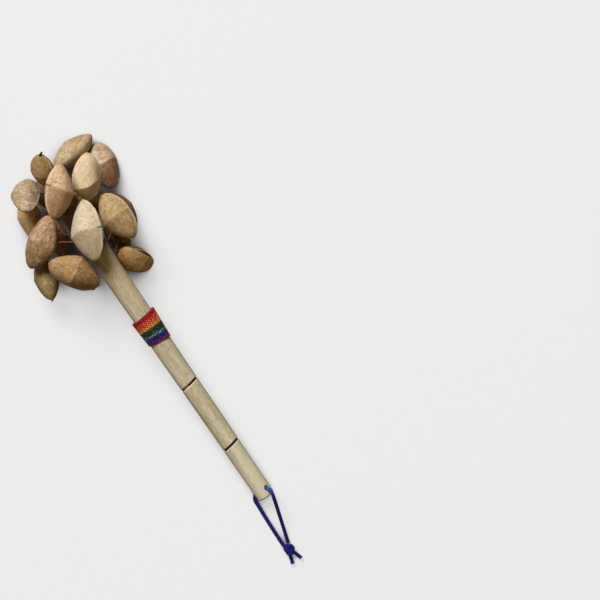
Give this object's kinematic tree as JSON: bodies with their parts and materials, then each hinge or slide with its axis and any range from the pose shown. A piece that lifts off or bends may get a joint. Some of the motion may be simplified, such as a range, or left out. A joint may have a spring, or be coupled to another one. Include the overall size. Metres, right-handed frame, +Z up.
{
  "type": "seed pod shaker",
  "caption": "Hand shaker: a bunch of hollow dried seed pods tied by strings to the head of a wooden stick with a woven band and a hanging cord.",
  "frame": {"origin": "on the table under the middle of the box round the shaker without its hanging cord", "axes": "+Z up from the table it lies on, +Y along the stick towards the pods, +X across the stick to the right seen from above with the pods away from the viewer"},
  "size_m": [0.092, 0.312, 0.0599],
  "materials": {
    "wood": "whittled, unvarnished, pale and dry",
    "textile": "coarse handwoven stripes in red, orange, gold, green, black, blue and magenta",
    "thread": "thin brown twisted thread",
    "cord": "fuzzy blue yarn",
    "shell_brown": "dry nut shell, smooth with fine pores and wrinkles",
    "shell_cream": "dry nut shell, smooth with fine pores and wrinkles",
    "shell_grey": "dry nut shell, smooth with fine pores and wrinkles",
    "shell_olive": "dry nut shell, smooth with fine pores and wrinkles",
    "shell_orange": "dry nut shell, smooth with fine pores and wrinkles",
    "shell_pink": "dry nut shell, smooth with fine pores and wrinkles",
    "shell_tan": "dry nut shell, smooth with fine pores and wrinkles"
  },
  "bodies": {
    "handle": {"stick": "wood", "textile_band": "textile", "string_core_1": "thread", "string_core_2": "thread", "string_core_3": "thread", "string_core_4": "thread", "string_core_5": "thread", "string_core_6": "thread", "string_core_7": "thread", "hanging_cord": "cord", "cord_knot": "cord"},
    "pod_01_on_string": {"pod_01": "shell_tan", "pod_string_01": "thread"},
    "pod_02_on_string": {"pod_02": "shell_pink", "pod_string_02": "thread"},
    "pod_03_on_string": {"pod_03": "shell_olive", "pod_string_03": "thread"},
    "pod_04_on_string": {"pod_04": "shell_orange", "pod_string_04": "thread"},
    "pod_05_on_string": {"pod_05": "shell_cream", "pod_string_05": "thread"},
    "pod_06_on_string": {"pod_06": "shell_grey", "pod_string_06": "thread"},
    "pod_07_on_string": {"pod_07": "shell_tan", "pod_string_07": "thread"},
    "pod_08_on_string": {"pod_08": "shell_brown", "pod_string_08": "thread"},
    "pod_09_on_string": {"pod_09": "shell_cream", "pod_string_09": "thread"},
    "pod_10_on_string": {"pod_10": "shell_tan", "pod_string_10": "thread"},
    "pod_11_on_string": {"pod_11": "shell_brown", "pod_string_11": "thread"},
    "pod_12_on_string": {"pod_12": "shell_orange", "pod_string_12": "thread"},
    "pod_13_on_string": {"pod_13": "shell_olive", "pod_string_13": "thread"},
    "pod_14_on_string": {"pod_14": "shell_brown", "pod_string_14": "thread"},
    "pod_15_on_string": {"pod_15": "shell_brown", "pod_string_15": "thread"},
    "pod_16_on_string": {"pod_16": "shell_tan", "pod_string_16": "thread"},
    "pod_17_on_string": {"pod_17": "shell_olive", "pod_string_17": "thread"},
    "pod_18_on_string": {"pod_18": "shell_brown", "pod_string_18": "thread"},
    "pod_19_on_string": {"pod_19": "shell_brown", "pod_string_19": "thread"},
    "pod_20_on_string": {"pod_20": "shell_brown", "pod_string_20": "thread"}
  },
  "joints": [
    {"name": "pod_01_swing", "type": "hinge", "parent": "handle", "child": "pod_01_on_string", "pos_m": [0.01029, 0.10011, 0.02917], "axis": [-0.8958, 0.155, -0.4166], "range_deg": [-31, 0]},
    {"name": "pod_02_swing", "type": "hinge", "parent": "handle", "child": "pod_02_on_string", "pos_m": [0.01029, 0.09872, 0.02902], "axis": [-0.3514, -0.6248, -0.6972], "range_deg": [-1, 10]},
    {"name": "pod_03_swing", "type": "hinge", "parent": "handle", "child": "pod_03_on_string", "pos_m": [-0.00131, 0.09392, 0.03828], "axis": [0.2513, -0.0768, -0.9648], "range_deg": [-1, 7]},
    {"name": "pod_04_swing", "type": "hinge", "parent": "handle", "child": "pod_04_on_string", "pos_m": [0.00601, 0.08952, 0.03714], "axis": [-0.3584, 0.5045, -0.7855], "range_deg": [-25, 4]},
    {"name": "pod_05_swing", "type": "hinge", "parent": "handle", "child": "pod_05_on_string", "pos_m": [0.00999, 0.08397, 0.02676], "axis": [-0.8194, 0.3222, 0.474], "range_deg": [-24, 0]},
    {"name": "pod_06_swing", "type": "hinge", "parent": "handle", "child": "pod_06_on_string", "pos_m": [-0.00694, 0.0991, 0.03212], "axis": [-0.7821, -0.3725, -0.4996], "range_deg": [-26, 2]},
    {"name": "pod_07_swing", "type": "hinge", "parent": "handle", "child": "pod_07_on_string", "pos_m": [-0.00664, 0.08211, 0.03104], "axis": [0.4324, -0.3976, -0.8093], "range_deg": [-9, 3]},
    {"name": "pod_08_swing", "type": "hinge", "parent": "handle", "child": "pod_08_on_string", "pos_m": [-0.00259, 0.07262, 0.03524], "axis": [0.5296, 0.8482, 0], "range_deg": [0, 29]},
    {"name": "pod_09_swing", "type": "hinge", "parent": "handle", "child": "pod_09_on_string", "pos_m": [0.00816, 0.06457, 0.03243], "axis": [-0.7783, 0.4174, -0.469], "range_deg": [-19, 3]},
    {"name": "pod_10_swing", "type": "hinge", "parent": "handle", "child": "pod_10_on_string", "pos_m": [0.00816, 0.06318, 0.03228], "axis": [-0.3368, 0.622, 0.7069], "range_deg": [-40, 3]},
    {"name": "pod_11_swing", "type": "hinge", "parent": "handle", "child": "pod_11_on_string", "pos_m": [0.00993, 0.05495, 0.02448], "axis": [-0.7924, -0.61, 0], "range_deg": [-3, 40]},
    {"name": "pod_12_swing", "type": "hinge", "parent": "handle", "child": "pod_12_on_string", "pos_m": [-0.00658, 0.05465, 0.02738], "axis": [0.4025, 0.8505, 0.3386], "range_deg": [-1, 28]},
    {"name": "pod_13_swing", "type": "hinge", "parent": "handle", "child": "pod_13_on_string", "pos_m": [-0.00658, 0.05604, 0.02753], "axis": [-0.4104, 0.1359, 0.9017], "range_deg": [-11, 5]},
    {"name": "pod_14_swing", "type": "hinge", "parent": "handle", "child": "pod_14_on_string", "pos_m": [-0.00266, 0.09039, 0.02212], "axis": [-0.4935, 0.818, 0.2954], "range_deg": [-2, 9]},
    {"name": "pod_15_swing", "type": "hinge", "parent": "handle", "child": "pod_15_on_string", "pos_m": [0.00999, 0.08119, 0.02646], "axis": [0.0997, 0.9749, -0.1992], "range_deg": [-12, 1]},
    {"name": "pod_16_swing", "type": "hinge", "parent": "handle", "child": "pod_16_on_string", "pos_m": [0.00594, 0.07417, 0.02054], "axis": [-0.9047, -0.0209, 0.4256], "range_deg": [-40, 10]},
    {"name": "pod_17_swing", "type": "hinge", "parent": "handle", "child": "pod_17_on_string", "pos_m": [0.00999, 0.08258, 0.02661], "axis": [0.349, 0.658, 0.6673], "range_deg": [-1, 5]},
    {"name": "pod_18_swing", "type": "hinge", "parent": "handle", "child": "pod_18_on_string", "pos_m": [-0.00266, 0.09179, 0.02227], "axis": [-0.9639, -0.158, -0.2145], "range_deg": [-7, 0]},
    {"name": "pod_19_swing", "type": "hinge", "parent": "handle", "child": "pod_19_on_string", "pos_m": [-0.00481, 0.06502, 0.02154], "axis": [0.813, -0.2605, -0.5207], "range_deg": [-28, 1]},
    {"name": "pod_20_swing", "type": "hinge", "parent": "handle", "child": "pod_20_on_string", "pos_m": [0.00993, 0.05634, 0.02463], "axis": [-0.9335, 0.1102, -0.3413], "range_deg": [-4, 0]}
  ]
}
